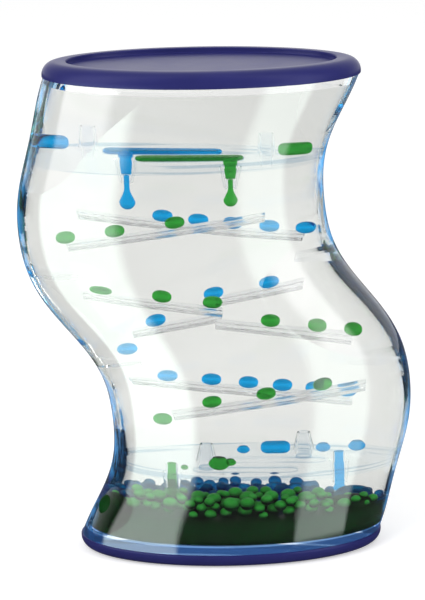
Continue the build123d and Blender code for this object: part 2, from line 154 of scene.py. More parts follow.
def outline_reach(sizes):
    return MIDDLE - sizes.cap_height


def outline_centre(sizes, rise):
    """Middle of the S outline at a height above the middle of the timer."""
    share = rise / outline_reach(sizes)
    waves = sum(size * sin((count + 1) * pi * share) for count, size in enumerate(SWAY_WAVES))
    return -END_SWAY * share - waves


def outline_half_length(sizes, rise):
    """Half of the outline's length along X at a height above the middle."""
    share = rise / outline_reach(sizes)
    waves = 0
    for count, size in enumerate(BULGE_WAVES):
        waves += size * (cos((count + 1) * pi * share) - cos((count + 1) * pi))
    return sizes.end_half_length - sizes.overhang + waves


def add_piece(name, points, faces, materials, replaced, body=BODY, sharp=35, indices=None):
    """Makes a mesh object from points and faces, dresses it and ties it to the frame. Edges
    sharper than the angle sharp stay sharp; indices name the material of each face."""
    mesh = bpy.data.meshes.new(name)
    mesh.from_pydata([tuple(point) for point in points], [], faces)
    for material in materials:
        mesh.materials.append(material)
    if indices:
        mesh.polygons.foreach_set("material_index", indices)
    mesh.polygons.foreach_set("use_smooth", [True] * len(mesh.polygons))
    mesh.set_sharp_from_angle(angle=radians(sharp))
    mesh.update()
    piece = bpy.data.objects.new(name, mesh)
    bpy.context.scene.collection.objects.link(piece)
    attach(piece, body)
    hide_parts(*replaced)
    return piece


def skin(rings, first=0, inward=False):
    """Faces over a stack of closed rings of equal count and its two ends; first is the index of
    the first point."""
    count = len(rings[0])
    faces = []
    for level in range(len(rings) - 1):
        for place in range(count):
            after = (place + 1) % count
            low, high = first + level * count, first + (level + 1) * count
            faces.append((low + place, low + after, high + after, high + place))
    last = first + (len(rings) - 1) * count
    faces.append(tuple(first + place for place in reversed(range(count))))
    faces.append(tuple(last + place for place in range(count)))
    if inward:
        faces = [tuple(reversed(face)) for face in faces]
    return faces


def globe_faces(rings, count):
    """Faces over a lowest point, a stack of rings and a highest point."""
    faces = []
    top = 1 + (rings - 1) * count
    for step in range(count):
        after = (step + 1) % count
        faces.append((0, 1 + after, 1 + step))
        faces.append((top + step, top + after, top + count))
    for ring in range(rings - 1):
        base, above = 1 + ring * count, 1 + (ring + 1) * count
        for step in range(count):
            after = (step + 1) % count
            faces.append((base + step, base + after, above + after, above + step))
    return faces


def spun(profile, centre, count):
    """Points and faces of a profile of (radius, height) pairs turned about the vertical axis.
    The profile's two ends lie on the axis."""
    points = [Vector((centre[0], centre[1], centre[2] + profile[0][1]))]
    for radius, height in profile[1:-1]:
        for step in range(count):
            angle = 2 * pi * step / count
            x, y = centre[0] + radius * cos(angle), centre[1] + radius * sin(angle)
            points.append(Vector((x, y, centre[2] + height)))
    points.append(Vector((centre[0], centre[1], centre[2] + profile[-1][1])))
    return points, globe_faces(len(profile) - 2, count)


def solid_boxes(node):
    """Lowest and highest corner of each separate solid in a CAD node, at rest."""
    copy = bmesh.new()
    copy.from_mesh(frame["nodes"][node].data)
    bmesh.ops.remove_doubles(copy, verts=copy.verts, dist=0.002 * MM)
    unseen = set(copy.verts)
    boxes = []
    while unseen:
        group, queue = [], [unseen.pop()]
        while queue:
            point = queue.pop()
            group.append(point.co.copy())
            for edge in point.link_edges:
                other = edge.other_vert(point)
                if other in unseen:
                    unseen.remove(other)
                    queue.append(other)
        low = Vector([min(point[axis] for point in group) for axis in range(3)])
        high = Vector([max(point[axis] for point in group) for axis in range(3)])
        boxes.append((low, high))
    copy.free()
    return sorted(boxes, key=lambda box: tuple(round(value / MM) for value in box[0]))


def fill(tree, socket, value):
    """Links a socket to another one, or sets it to a number."""
    if isinstance(value, bpy.types.NodeSocket):
        tree.links.new(value, socket)
    else:
        socket.default_value = value


def math_socket(tree, operation, *values):
    """Result of a math node that is fed with sockets or numbers."""
    node = tree.nodes.new("ShaderNodeMath")
    node.operation = operation
    for place, value in enumerate(values):
        fill(tree, node.inputs[place], value)
    return node.outputs[0]


def ranged(tree, value, low, high, smooth=True, bottom=0.0, top=1.0):
    """Socket that goes from bottom to top while the value goes from low to high."""
    node = tree.nodes.new("ShaderNodeMapRange")
    if smooth:
        node.interpolation_type = "SMOOTHSTEP"
    fill(tree, node.inputs["Value"], value)
    fill(tree, node.inputs["From Min"], low)
    fill(tree, node.inputs["From Max"], high)
    fill(tree, node.inputs["To Min"], bottom)
    fill(tree, node.inputs["To Max"], top)
    return node.outputs["Result"]


def mixed_colour(tree, factor, first, second):
    """Colour between the first and the second, each a socket or three numbers."""
    node = tree.nodes.new("ShaderNodeMix")
    node.data_type = "RGBA"
    tree.links.new(factor, node.inputs["Factor"])
    for name, colour in (("A", first), ("B", second)):
        if not isinstance(colour, bpy.types.NodeSocket):
            colour = (*colour, 1)
        fill(tree, node.inputs[name], colour)
    return node.outputs["Result"]


def noise(tree, vector, scale, detail):
    node = tree.nodes.new("ShaderNodeTexNoise")
    tree.links.new(vector, node.inputs["Vector"])
    fill(tree, node.inputs["Scale"], scale)
    node.inputs["Detail"].default_value = detail
    return node.outputs["Fac"]


def stretched(tree, vector, factors):
    """A vector with its three parts scaled."""
    node = tree.nodes.new("ShaderNodeMapping")
    node.inputs["Scale"].default_value = factors
    tree.links.new(vector, node.inputs["Vector"])
    return node.outputs["Vector"]


def parts_of(tree, vector):
    """The X, Y and Z sockets of a vector."""
    node = tree.nodes.new("ShaderNodeSeparateXYZ")
    tree.links.new(vector, node.inputs["Vector"])
    return node.outputs


def object_place(tree):
    """Texture coordinate sockets, for an object's own places and normals."""
    return tree.nodes.new("ShaderNodeTexCoord").outputs


def new_group(name, taken=(), given=()):
    """Node group with inputs and outputs named by kind: its tree, entry sockets and exit sockets."""
    tree = bpy.data.node_groups.new(name, "ShaderNodeTree")
    for direction, sockets in (("INPUT", taken), ("OUTPUT", given)):
        for label, kind in sockets:
            tree.interface.new_socket(name=label, in_out=direction, socket_type=f"NodeSocket{kind}")
    entry, leave = tree.nodes.new("NodeGroupInput"), tree.nodes.new("NodeGroupOutput")
    return tree, entry.outputs, leave.inputs


def surface_group():
    """Node group for moulded or liquid surfaces: uneven roughness, fine relief and a slow tint."""
    name = "uneven_surface"
    if name in bpy.data.node_groups:
        return bpy.data.node_groups[name]
    tree, entry, leave = new_group(
        name,
        (("Scale", "Float"), ("Smooth", "Float"), ("Rough", "Float"), ("Colour", "Color"),
         ("Second Colour", "Color")),
        (("Colour", "Color"), ("Roughness", "Float"), ("Height", "Float")))
    place = object_place(tree)["Object"]
    slow = noise(tree, place, entry["Scale"], 3.0)
    fine = noise(tree, place, math_socket(tree, "MULTIPLY", entry["Scale"], FINER), 4.0)
    roughness = ranged(tree, slow, 0.0, 1.0, False, entry["Smooth"], entry["Rough"])
    tree.links.new(roughness, leave["Roughness"])
    tint = mixed_colour(tree, slow, entry["Colour"], entry["Second Colour"])
    tree.links.new(tint, leave["Colour"])
    tree.links.new(fine, leave["Height"])
    return tree


def painted_reflection_group():
    """Node group for painted reflections: upright streaks of the oils' colours painted on the curved
    side walls, and the cap's colour painted on the clear edge above it, as if seen through it."""
    name = "caught_colour"
    if name in bpy.data.node_groups:
        return bpy.data.node_groups[name]
    tree, entry, leave = new_group(
        name, (("Height", "Float"), ("Edge", "Float")), (("Colour", "Color"), ("Mask", "Float")))
    place = object_place(tree)
    height = parts_of(tree, place["Object"])["Z"]
    across = parts_of(tree, place["Normal"])["X"]
    share = math_socket(tree, "DIVIDE", height, entry["Height"])
    right_side = math_socket(tree, "GREATER_THAN", across, 0.0)
    # Painted reflection colours: the oils' blues and greens seen in the left and right side walls, and
    # the cap's navy seen through the clear edge.
    pale, bright, deep = (0.30, 0.52, 0.88), (0.05, 0.36, 0.80), (0.015, 0.03, 0.17)
    murky, leaf, painted_cap_colour = (0.025, 0.11, 0.20), (0.30, 0.62, 0.50), (0.016, 0.046, 0.12)
    left = ((0.0, pale), (0.09, bright), (0.11, deep), (0.15, deep), (0.17, bright), (0.44, pale),
            (0.60, bright), (0.80, bright), (0.87, leaf), (0.95, pale))
    right = ((0.0, pale), (0.10, bright), (0.22, pale), (0.27, bright), (0.33, murky), (0.44, deep),
             (0.55, murky), (0.61, deep), (0.64, bright), (0.84, bright), (0.95, pale))
    painted_side_colours = []
    for stops in (left, right):
        ramp = tree.nodes.new("ShaderNodeValToRGB")
        for count, (position, colour) in enumerate(stops):
            if count < 2:
                stop = ramp.color_ramp.elements[count]
                stop.position = position
            else:
                stop = ramp.color_ramp.elements.new(position)
            stop.color = (*colour, 1)
        tree.links.new(share, ramp.inputs["Fac"])
        painted_side_colours.append(ramp.outputs["Color"])
    # Painted reflection colour for the side that the surface faces.
    tint = mixed_colour(tree, right_side, *painted_side_colours)
    # The painted reflection lies in upright streaks on the bands where the wall faces sideways.
    side_start, side_full = 0.74, 0.95
    band = ranged(tree, math_socket(tree, "ABSOLUTE", across), side_start, side_full)
    upright = stretched(tree, place["Object"], (1.0, 1.0, 0.30))
    streaks = ranged(tree, noise(tree, upright, 480.0, 2.0), 0.40, 0.58)
    sides = math_socket(tree, "MULTIPLY", band, streaks)
    # Near the bottom the cap's colour is painted on the clear edge above it.
    edge_fade = 1.08
    upper = math_socket(tree, "MULTIPLY", entry["Edge"], edge_fade)
    edge = ranged(tree, height, upper, entry["Edge"], False)
    tree.links.new(mixed_colour(tree, edge, tint, painted_cap_colour), leave["Colour"])
    tree.links.new(math_socket(tree, "MAXIMUM", sides, edge), leave["Mask"])
    return tree


def level_line_group():
    """Node group for thin level lines on a tray's upright faces, and for painted highlight lines on the
    settled oil's.
    """
    name = "layer_lines"
    if name in bpy.data.node_groups:
        return bpy.data.node_groups[name]
    tree, _, leave = new_group(name, (), (("Mask", "Float"),))
    place = object_place(tree)
    level_noise = noise(tree, stretched(tree, place["Object"], (0.02, 0.02, 1.0)), 1500.0, 1.0)
    level = math_socket(tree, "ABSOLUTE", parts_of(tree, place["Normal"])["Z"])
    upright = ranged(tree, level, 0.6, 0.3, False)
    lines = ranged(tree, level_noise, 0.50, 0.60)
    tree.links.new(math_socket(tree, "MULTIPLY", lines, upright), leave["Mask"])
    return tree


def lit_group():
    """Node group whose mask goes from 0 to 1 while the surface turns up from Start to End."""
    name = "lit_from_above"
    if name in bpy.data.node_groups:
        return bpy.data.node_groups[name]
    tree, entry, leave = new_group(
        name, (("Start", "Float"), ("End", "Float")), (("Mask", "Float"),))
    upward = parts_of(tree, object_place(tree)["Normal"])["Z"]
    tree.links.new(ranged(tree, upward, entry["Start"], entry["End"]), leave["Mask"])
    return tree


def use_group(tree, group, **values):
    """Outputs of a node group in a material, with its inputs set."""
    node = tree.nodes.new("ShaderNodeGroup")
    node.node_tree = group
    for name, value in values.items():
        node.inputs[name].default_value = value
    return node.outputs


def base_colour(material):
    """The tree, the Base Color socket and the colour that feeds it now."""
    socket = material.node_tree.nodes["Principled BSDF"].inputs["Base Color"]
    return material.node_tree, socket, socket.links[0].from_socket


def draw_level_lines(material, colour):
    """Draws thin level lines of a colour into the base colour of a finish."""
    tree, base, plain = base_colour(material)
    mask = use_group(tree, level_line_group())["Mask"]
    tree.links.new(mixed_colour(tree, mask, plain, colour), base)


def light_by_height(material, shaded, start, end):
    """Goes from a shaded colour to the finish's own between two values of the upward normal."""
    tree, base, plain = base_colour(material)
    mask = use_group(tree, lit_group(), Start=start, End=end)["Mask"]
    tree.links.new(mixed_colour(tree, mask, shaded, plain), base)


def paint_reflection(material, sizes):
    """Lays the painted reflection colours over the base colour of a finish and lets them glow: a painted
    glow, though nothing there is a lamp.
    """
    tree, base, plain = base_colour(material)
    shader = tree.nodes["Principled BSDF"]
    reflection_paint = use_group(tree, painted_reflection_group(), Height=2 * MIDDLE,
                       Edge=sizes.cap_height + sizes.closure)
    tree.links.new(mixed_colour(tree, reflection_paint["Mask"], plain, reflection_paint["Colour"]), base)
    # Painted glow: the same painted reflection colours feed the emission.
    glow = mixed_colour(tree, reflection_paint["Mask"], (0, 0, 0), reflection_paint["Colour"])
    tree.links.new(glow, shader.inputs["Emission Color"])
    shader.inputs["Emission Strength"].default_value = 0.55


def make_finish(name, colour, second, scale, smooth, rough, relief, index, clearness):
    """Principled material with the uneven surface; clearness is its transmission."""
    material = bpy.data.materials.new(name)
    material.use_nodes = True
    tree = material.node_tree
    shader = tree.nodes["Principled BSDF"]
    shader.inputs["IOR"].default_value = index
    shader.inputs["Transmission Weight"].default_value = clearness
    shader.inputs["Metallic"].default_value = 0.0
    shader.inputs["Specular IOR Level"].default_value = 0.5 if clearness else 0.14
    uneven = use_group(tree, surface_group(), Scale=scale, Smooth=smooth, Rough=rough,
                       Colour=(*colour, 1), **{"Second Colour": (*second, 1)})
    bump = tree.nodes.new("ShaderNodeBump")
    bump.inputs["Strength"].default_value = relief
    bump.inputs["Distance"].default_value = 0.05 * MM
    tree.links.new(uneven["Colour"], shader.inputs["Base Color"])
    tree.links.new(uneven["Roughness"], shader.inputs["Roughness"])
    tree.links.new(uneven["Height"], bump.inputs["Height"])
    tree.links.new(bump.outputs["Normal"], shader.inputs["Normal"])
    return material


def shade(colour, factor):
    return tuple(min(1.0, part * factor) for part in colour)


def finish(key):
    """The material of that finish, made on first use. The frame's own materials have slot names."""
    name = f"{key}_finish"
    if name in bpy.data.materials:
        return bpy.data.materials[name]
    colours = bpy.context.scene.timer_colours
    cap, clear = tuple(colours.cap), tuple(colours.clear)
    green, blue = tuple(colours.green), tuple(colours.blue)
    recipes = {
        "cap_plastic": (cap, shade(cap, 1.25), 90, 0.28, 0.38, 0.35, 1.45, 0.0),
        "clear_outside": (clear, shade(clear, 1.03), 30, 0.0, 0.012, 0.02, 1.49, 1.0),
        "clear_inside": (clear, shade(clear, 1.03), 40, 0.0, 0.012, 0.02, 1.118, 1.0),
        "clear_ramp": ((0.96, 0.97, 0.99), (0.99, 0.99, 1.0), 60, 0.0, 0.03, 0.02, 1.085, 0.93),
        "clear_ledge": ((0.97, 0.98, 0.99), (0.99, 0.99, 1.0), 60, 0.0, 0.03, 0.02, 1.03, 1.0),
        "clear_plate": ((0.99, 0.99, 0.985), (1.0, 1.0, 1.0), 60, 0.0, 0.03, 0.02, 1.005, 1.0),
        "clear_tray": ((0.90, 0.94, 0.96), (0.94, 0.96, 0.98), 60, 0.0, 0.03, 0.02, 1.005, 1.0),
        "clear_tube": ((0.93, 0.95, 0.97), (0.96, 0.97, 0.98), 60, 0.0, 0.03, 0.02, 1.12, 1.0),
        "green_oil": (green, shade(green, 1.3), 120, 0.0, 0.02, 0.02, 1.06, 1.0),
        "blue_oil": (blue, shade(blue, 1.2), 120, 0.0, 0.02, 0.02, 1.06, 1.0),
        "green_settled": (shade(green, 0.08), shade(green, 0.30), 60, 0.0, 0.02, 0.05, 1.08, 0.6),
        "blue_settled": (shade(blue, 0.35), shade(blue, 0.6), 60, 0.0, 0.02, 0.05, 1.08, 0.6),
        "green_beads": (shade(green, 1.5), shade(green, 2.8), 160, 0.0, 0.02, 0.05, 1.13, 0.35),
        "blue_beads": (shade(blue, 0.9), shade(blue, 1.0), 160, 0.0, 0.02, 0.05, 1.10, 0.7),
    }
    return make_finish(name, *recipes[key])


def ellipse_ring(centre, half_length, half_depth, z):
    ring = []
    for step in range(AROUND):
        angle = 2 * pi * step / AROUND
        ring.append(Vector((centre + half_length * cos(angle), half_depth * sin(angle), z)))
    return ring


class TIMER_OT_housing(bpy.types.Operator):
    """Clear body and liquid: an outer face to the air and an inner face to the liquid"""
    bl_idname = "timer.housing"
    bl_label = "Clear body"

    def execute(self, context):
        sizes = context.scene.timer_sizes
        clearance = 0.02 * MM
        reach = outline_reach(sizes) - clearance
        inner_reach = outline_reach(sizes) - sizes.closure
        depth = sizes.half_depth - sizes.overhang
        levels = 120
        outer, inner = [], []
        for rings, end, inset in ((outer, reach, 0), (inner, inner_reach, sizes.wall)):
            for index in range(levels + 1):
                rise = end * (2 * index / levels - 1)
                x, length = outline_centre(sizes, rise), outline_half_length(sizes, rise)
                rings.append(ellipse_ring(x, length - inset, depth - inset, MIDDLE + rise))
        points = [point for ring in outer + inner for point in ring]
        outside = skin(outer)
        inside = skin(inner, first=len(outer) * AROUND, inward=True)
        indices = [0] * len(outside) + [1] * len(inside)
        # Painted reflections of the oils and the cap, glowing, on the side bands and the lower edge of
        # the clear body.
        paint_reflection(finish("clear_outside"), sizes)
        add_piece(
            "clear_body", points, outside + inside,
            [finish("clear_outside"), finish("clear_inside")],
            ["front_shell", "rear_shell", "top_closure", "bottom_closure", "clear_liquid"],
            indices=indices)
        return {"FINISHED"}


def cap_rings(sizes, centre):
    """Rings of a cap from its underside, up round its rim and down into the recess."""
    half_length, half_depth, height = sizes.end_half_length, sizes.half_depth, sizes.cap_height
    rounding, edge, recess = 3.6 * MM, 0.4 * MM, 1.4 * MM
    rim_at_ends, rim_at_sides = 6.6 * MM, 5.0 * MM
    recess_length, recess_depth = half_length - rim_at_ends, half_depth - rim_at_sides
    rings = []

    def inset_ring(inset, z):
        ring = []
        for step in range(AROUND):
            angle = 2 * pi * step / AROUND
            x, y = half_length * cos(angle), half_depth * sin(angle)
            normal = Vector((cos(angle) / half_length, sin(angle) / half_depth, 0)).normalized()
            ring.append(Vector((centre + x - inset * normal.x, y - inset * normal.y, z)))
        return ring

    for inset, z in ((6, 0), (0.25, 0), (0.05, 0.06), (0, 0.25)):
        rings.append(inset_ring(inset * MM, z * MM))
    round_steps, edge_steps = 16, 6
    for step in range(round_steps + 1):
        angle = pi / 2 * step / round_steps
        rings.append(inset_ring(rounding * (1 - cos(angle)), height - rounding * (1 - sin(angle))))
    for step in range(edge_steps + 1):
        angle = pi / 2 * step / edge_steps
        grow = edge * (1 - sin(angle))
        z = height - edge * (1 - cos(angle))
        rings.append(ellipse_ring(centre, recess_length + grow, recess_depth + grow, z))
    floor = height - recess
    for inset, rise in ((0, 0.2), (0.08, 0.08), (0.3, 0)):
        length, depth = recess_length - inset * MM, recess_depth - inset * MM
        rings.append(ellipse_ring(centre, length, depth, floor + rise * MM))
    for share in (0.8, 0.5, 0.2):
        rings.append(ellipse_ring(centre, recess_length * share, recess_depth * share, floor))
    return rings


class TIMER_OT_caps(bpy.types.Operator):
    """Top and bottom cap with a rounded rim and a shallow recess"""
    bl_idname = "timer.caps"
    bl_label = "Caps"

    def execute(self, context):
        sizes = context.scene.timer_sizes
        reach = outline_reach(sizes)
        for node, turn in (("top_cap", 1), ("bottom_cap", -1)):
            rings = cap_rings(sizes, outline_centre(sizes, reach))
            points = []
            for ring in rings:
                for point in ring:
                    points.append(Vector((turn * point.x, point.y, MIDDLE + turn * (reach + point.z))))
            add_piece(node + "_moulding", points, skin(rings), [finish("cap_plastic")], [node],
                      sharp=50)
        return {"FINISHED"}


def dressed_copy(name, key, bevel=0.0, tubes=None):
    """A copy of a CAD node with true edges, rounded where a bevel is given, in the node's place.
    Faces outside the heights given as tubes, such as a tray's nozzles, get the tube finish.
    It keeps a hair's gap to its neighbours, because light can't pass two faces in one place."""
    weld, flat_angle, corner_angle, longest_step = 0.003 * MM, radians(0.5), radians(40), 2.0
    source = bmesh.new()
    source.from_mesh(frame["nodes"][name].data)
    bmesh.ops.remove_doubles(source, verts=source.verts, dist=weld)
    bmesh.ops.dissolve_limit(
        source, angle_limit=flat_angle, verts=source.verts, edges=source.edges)
    if bevel:
        edges = [edge for edge in source.edges if edge.calc_face_angle(0) > corner_angle]
        bmesh.ops.bevel(source, geom=edges, offset=bevel, offset_type="OFFSET", segments=3,
                        profile=0.5, affect="EDGES", clamp_overlap=True)
    bmesh.ops.recalc_face_normals(source, faces=source.faces)
    source.normal_update()
    points = []
    for point in source.verts:
        inward = min(point.calc_shell_factor(), longest_step) * HAIR_GAP
        points.append(point.co - point.normal * inward)
    source.verts.index_update()
    faces = [tuple(point.index for point in face.verts) for face in source.faces]
    source.free()
    materials, indices = [finish(key)], None
    if tubes:
        materials.append(finish("clear_tube"))
        indices = []
        for face in faces:
            heights = [points[corner].z for corner in face]
            outside = min(heights) < tubes[0] or max(heights) > tubes[1]
            indices.append(int(outside))
    return add_piece(f"{name}_clear", points, faces, materials, [name],
                     body=node_body(name), sharp=25, indices=indices)


class TIMER_OT_fittings(bpy.types.Operator):
    """Clear trays, plates, ramps, ledges and plugs inside the body"""
    bl_idname = "timer.fittings"
    bl_label = "Trays, plates and ramps"

    def execute(self, context):
        for name in ("centre_plate", "top_partition", "bottom_partition"):
            dressed_copy(name, "clear_plate")
        draw_level_lines(finish("clear_tray"), (0.42, 0.56, 0.70))
        spare = 0.1 * MM
        for tray, under, over in (("bottom_tray", "bottom_partition", "centre_plate"),
                                  ("top_tray", "centre_plate", "top_partition")):
            low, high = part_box(under)[1].z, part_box(over)[0].z
            dressed_copy(tray, "clear_tray", tubes=(low - spare, high + spare))
        for colour in LANES:
            for number in range(1, 5):
                name = f"{colour}_ramp_{number}"
                dressed_copy(name, "clear_ramp", bevel=0.12 * MM)
            for name in (f"{colour}_upper_ledge", f"{colour}_lower_ledge"):
                dressed_copy(name, "clear_ledge")
            dressed_copy(f"{colour}_fill_plug", "clear_plate")
        return {"FINISHED"}


def drop_shape(low, high, slope=0.0, fullness=2.3, flat=0.0, seed=0, rows=20, count=40):
    """Points and faces of a heavy flattened drop in a box, tilted to its ramp."""
    chance = random.Random(seed)
    centre, half = (low + high) / 2, (high - low) / 2
    lean, swell = chance.uniform(-0.06, 0.06), chance.uniform(-0.05, 0.05)
    power = 2 / fullness

    def place(angle_up, angle_round):
        up, out = sin(angle_up), cos(angle_up)
        z = (abs(up) ** power) * (1 if up > 0 else -1)
        radius = abs(out) ** power
        x, y = radius * cos(angle_round), radius * sin(angle_round)
        if z < 0:
            z *= 1 - flat
        x += lean * z + swell * (x * x - 0.5) * 0.5
        x = max(-1.0, min(1.0, x))
        offset = Vector((x * half.x, y * half.y, z * half.z))
        return centre + Matrix.Rotation(slope, 3, "Y") @ offset

    points = [place(-pi / 2, 0)]
    for row in range(1, rows):
        angle_up = -pi / 2 + pi * row / rows
        for step in range(count):
            points.append(place(angle_up, 2 * pi * step / count))
    points.append(place(pi / 2, 0))
    return points, globe_faces(rows - 1, count)


def join_shapes(shapes):
    """One list of points and faces from several."""
    points, faces = [], []
    for part_points, part_faces in shapes:
        start = len(points)
        points += part_points
        faces += [tuple(start + corner for corner in face) for face in part_faces]
    return points, faces


def node_body(node):
    return frame["nodes"][node]["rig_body"]


def ramp_slope(colour, number):
    """Angle of a ramp about the depth axis, from its train's joint."""
    for joint in frame["joints"]:
        if joint["name"] == f"{colour}_roll_{number}":
            x, _, z = joint["axis"]
            return -(z / abs(x)) * (1 if x > 0 else -1)
    raise RuntimeError(f"no joint for {colour} ramp {number}")


class TIMER_OT_drops(bpy.types.Operator):
    """Drops that roll, fall and hang"""
    bl_idname = "timer.drops"
    bl_label = "Moving drops"

    def execute(self, context):
        for lane, colour in enumerate(LANES):
            material = finish(f"{colour}_oil")
            own = tuple(getattr(context.scene.timer_colours, colour))
            light_by_height(material, shade(own, 0.55), 1.0, 0.35)
            for number in range(1, 5):
                node = f"{colour}_drops_{number}"
                slope = ramp_slope(colour, number)
                shapes = []
                for index, (low, high) in enumerate(solid_boxes(node)):
                    seed = 100 * lane + 10 * number + index
                    shapes.append(drop_shape(low, high, slope, flat=0.06, seed=seed))
                points, faces = join_shapes(shapes)
                add_piece(f"{colour}_train_{number}_drops", points, faces, [material], [node],
                          body=node_body(node))
            node = f"{colour}_falling_drop"
            low, high = solid_boxes(node)[0]
            points, faces = drop_shape(low, high, fullness=2.1, seed=7 + lane)
            add_piece(f"{colour}_free_drop", points, faces, [material], [node],
                      body=node_body(node))
            node = f"{colour}_hanging_drop"
            low, high = solid_boxes(node)[0]
            points, faces = self.pendant(low, high)
            add_piece(f"{colour}_pendant_drop", points, faces, [material], [node],
                      body=node_body(node))
        return {"FINISHED"}

    def pendant(self, low, high):
        """A round drop under a neck that widens again towards the nozzle."""
        radius = (high.x - low.x) / 2
        length = high.z - low.z
        neck, widest, taper_length = 0.34 * radius, 1.05 * radius, 1.75 * radius
        profile = [(0, 0)]
        steps = 60
        for index in range(1, steps):
            z = length * index / steps
            taper = min(1.0, max(0.0, (z - widest) / taper_length))
            bulb = sqrt(max(0.0, 1 - ((z - widest) / widest) ** 2)) * radius
            width = bulb if taper == 0 else neck + (radius - neck) * (1 - taper ** 1.2) ** 1.6
            profile.append((width, z))
        profile.append((0, length))
        return spun(profile, Vector(((low.x + high.x) / 2, (low.y + high.y) / 2, low.z)), count=40)


class TIMER_OT_pools(bpy.types.Operator):
    """Oil on the two trays, in the nozzles and in the drain tubes"""
    bl_idname = "timer.pools"
    bl_label = "Tray oil"

    def execute(self, context):
        for colour in LANES:
            for node in (f"{colour}_tray_pool", f"{colour}_tray_oil"):
                dressed_copy(node, f"{colour}_oil")
        return {"FINISHED"}


class TIMER_OT_settled(bpy.types.Operator):
    """Settled oil at the bottom with the heap of beads that lies on it"""
    bl_idname = "timer.settled"
    bl_label = "Settled oil"

    def execute(self, context):
        sizes = context.scene.timer_sizes
        # Each merged drop has its place in its lane and its half sizes, in mm.
        merged = {
            "green": ((-29.2, 4.6, 13.4, 5.0, 3.0, 4.4), (35.6, 5.6, 14.0, 6.6, 3.9, 3.6)),
            "blue": ((36.0, 5.4, 14.2, 5.0, 3.4, 3.0),),
        }
        counts = {"green": 230, "blue": 150}
        # Painted shade: colours that darken the beads' undersides and sides; their tops keep the beads'
        # own colour.
        painted_bead_shade = {"green": (0.005, 0.040, 0.014), "blue": (0.006, 0.070, 0.300)}
        # Painted highlights: lighter green level lines on the settled oil's upright faces.
        draw_level_lines(finish("green_settled"), (0.010, 0.110, 0.025))
        for colour, side in LANES.items():
            dressed_copy(f"{colour}_settled_oil", f"{colour}_settled")
            light_by_height(finish(f"{colour}_beads"), painted_bead_shade[colour], -0.3, 0.75)
            shapes = []
            for x, y, z, length, depth, height in merged[colour]:
                centre = Vector((x, side * y, z)) * MM
                half = Vector((length, depth, height)) * MM
                shapes.append(drop_shape(centre - half, centre + half, fullness=2.2, seed=3))
            points, faces = join_shapes(shapes)
            add_piece(f"{colour}_merged_oil", points, faces, [finish(f"{colour}_settled")],
                      [f"{colour}_beads"])
            shapes = []
            for centre, radius in self.heap(sizes, colour, side, counts[colour]):
                half = Vector((radius, radius, 0.9 * radius))
                shapes.append(drop_shape(centre - half, centre + half, fullness=2.1,
                                         seed=round(centre.x / MM * 50), rows=12, count=20))
            points, faces = join_shapes(shapes)
            add_piece(f"{colour}_bead_heap", points, faces, [finish(f"{colour}_beads")],
                      [f"{colour}_beads"])
        return {"FINISHED"}

    def heap(self, sizes, colour, side, count):
        """Places beads one by one where they come to rest, inside the wall and one lane."""
        chance = random.Random(11 + side)
        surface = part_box(f"{colour}_settled_oil")[1].z
        plate, margin, tries = 1.4 * MM, 0.2 * MM, 14
        large_every, first_large, large = 24, 5, 2.9 * MM
        sink, nest = 0.86, 0.84
        crown_middle = 20.6 * MM if side < 0 else 18.8 * MM
        low_left, low_right, end_drop = -23 * MM, 28 * MM, 2.4 * MM
        beads = []
        for number in range(count):
            radius = chance.choice((1.3, 1.5, 1.7, 1.9, 2.1, 2.3)) * MM
            if number % large_every == first_large:
                radius = large
            best = None
            for _ in range(tries):
                x, y = chance.uniform(-32, 43) * MM, chance.uniform(1.4, 17) * MM
                if y - radius < plate:
                    continue
                z = surface + sink * radius
                for other, other_radius in beads:
                    reach = radius + other_radius
                    apart = (x - other.x) ** 2 + (y - abs(other.y)) ** 2
                    if apart < reach * reach:
                        z = max(z, other.z + nest * sqrt(reach * reach - apart))
                rise = z - MIDDLE
                length = outline_half_length(sizes, rise) - sizes.wall - radius - margin
                depth = sizes.half_depth - sizes.overhang - sizes.wall - radius - margin
                across = (x - outline_centre(sizes, rise)) / length
                if across ** 2 + (y / depth) ** 2 > 1:
                    continue
                crown = crown_middle
                if x < low_left or x > low_right:
                    crown -= end_drop
                if z + radius > crown:
                    continue
                if best is None or z < best.z:
                    best = Vector((x, y, z))
            if best:
                beads.append((Vector((best.x, side * best.y, best.z)), radius))
        return beads


def lamp(name, place, aim, width, height, power):
    data = bpy.data.lights.new(name, "AREA")
    data.shape = "RECTANGLE"
    data.size, data.size_y = width, height
    data.energy = power
    light = bpy.data.objects.new(name, data)
    light.location = place
    light.rotation_euler = (Vector(aim) - Vector(place)).to_track_quat("-Z", "Y").to_euler()
    light.visible_glossy = False
    bpy.context.scene.collection.objects.link(light)


def compass(tree, place, origin):
    """Socket with the angle of a place about an origin on the floor, from the front to the right."""
    shift = tree.nodes.new("ShaderNodeVectorMath")
    shift.operation = "SUBTRACT"
    shift.inputs[1].default_value = (origin[0] * MM, origin[1] * MM, 0.0)
    tree.links.new(place, shift.inputs[0])
    parts = parts_of(tree, shift.outputs[0])
    return math_socket(tree, "ARCTAN2", parts["X"], math_socket(tree, "MULTIPLY", parts["Y"], -1.0))


def card_light(tree, place, cards):
    """Socket with the brightness of the pale cards that stand round the object. A card lies
    between two edges, each an angle about its own origin, and has its own brightness."""
    total = 0.0
    for first, start, second, end, strength in cards:
        rise = ranged(tree, compass(tree, place, first), radians(start - CARD_BLUR),
                      radians(start + CARD_BLUR), top=strength)
        fall = ranged(tree, compass(tree, place, second), radians(end + CARD_BLUR),
                      radians(end - CARD_BLUR))
        total = math_socket(tree, "ADD", math_socket(tree, "MULTIPLY", rise, fall), total)
    return total


def mirror_share(tree, rays):
    """Socket that is 1 for rays that a surface mirrored, 0 for rays that passed through one."""
    kept = math_socket(tree, "SUBTRACT", 1.0, rays["Is Transmission Ray"])
    return math_socket(tree, "MULTIPLY", rays["Is Glossy Ray"], kept)


def seen_share(tree, rays):
    """Socket that is 1 for rays from the camera and for rays that passed through something."""
    return math_socket(tree, "MAXIMUM", rays["Is Camera Ray"], rays["Is Transmission Ray"])


